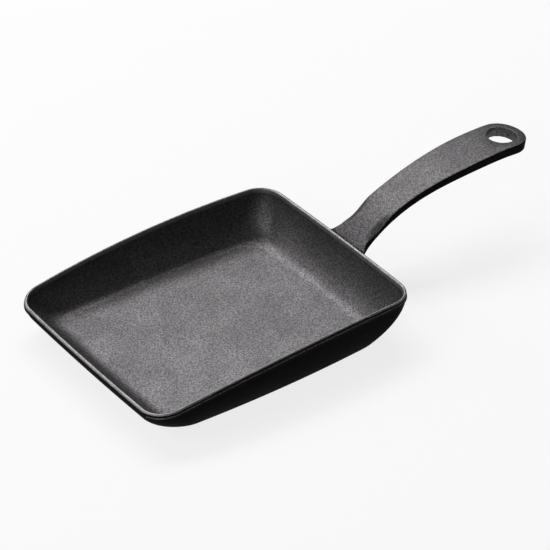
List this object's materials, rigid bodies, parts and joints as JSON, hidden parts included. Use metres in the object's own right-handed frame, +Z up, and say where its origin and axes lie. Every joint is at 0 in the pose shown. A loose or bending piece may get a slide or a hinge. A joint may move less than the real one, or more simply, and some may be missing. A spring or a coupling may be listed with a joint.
{
  "type": "tamagoyaki pan",
  "caption": "Rectangular cast iron omelette pan with flared walls, a rounded rim and a long flat handle that rises and ends in a hanging hole.",
  "frame": {"origin": "centre of the dish, on the flat underside that rests on the stove", "axes": "+X from the dish along the handle, +Y across the dish, +Z up"},
  "size_m": [0.3155, 0.15, 0.0554],
  "materials": {
    "dish_iron": "matte black, fine sand-cast grain",
    "handle_iron": "matte black, fine sand-cast grain"
  },
  "bodies": {
    "root": {"pan_body": "dish_iron", "handle": "handle_iron"}
  },
  "joints": []
}
